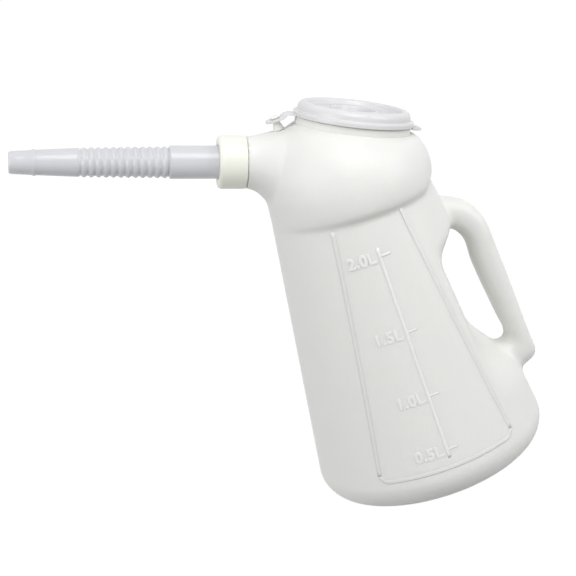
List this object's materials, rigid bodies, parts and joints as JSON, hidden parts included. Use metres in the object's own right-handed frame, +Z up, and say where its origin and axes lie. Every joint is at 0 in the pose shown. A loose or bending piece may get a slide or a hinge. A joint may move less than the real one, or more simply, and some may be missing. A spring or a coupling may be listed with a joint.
{
  "type": "oil measuring container",
  "caption": "Translucent jug for measuring and pouring oil, with a hollow handle, a strapped push-fit lid and a flexible corrugated spout held by a threaded ring.",
  "frame": {"origin": "centre of the jug's flat base, on the surface that it stands on", "axes": "+Z up along the jug, +X toward the handle, -X toward the spout, +Y across"},
  "size_m": [0.2758, 0.1478, 0.2848],
  "materials": {
    "body": "satin milky polyethylene",
    "lid": "smooth soft polyethylene",
    "ring": "satin ivory plastic",
    "spout": "glossy clear soft plastic"
  },
  "bodies": {
    "jug": {"jug_body": "body", "lid_strap": "lid"},
    "lid": {"lid": "lid"},
    "spout": {"flexible_spout": "spout"},
    "ring": {"clamping_ring": "ring"}
  },
  "joints": [
    {"name": "lid_hinge", "type": "hinge", "parent": "jug", "child": "lid", "pos_m": [-0.02042, 0, 0.24868], "axis": [0, -1, 0], "range_deg": [0, 135]},
    {"name": "spout_slide", "type": "slide", "parent": "jug", "child": "spout", "axis": [-0.9397, 0, 0.342], "range_m": [0, 0.006]},
    {"name": "ring_turn", "type": "hinge", "parent": "spout", "child": "ring", "pos_m": [0, 0, 0.2095], "axis": [-0.9397, 0, 0.342], "range_deg": [0, 540]}
  ],
  "couplings": [
    {"joint": "spout_slide", "follows": "ring_turn", "m_per_rad": 0.00063662}
  ]
}
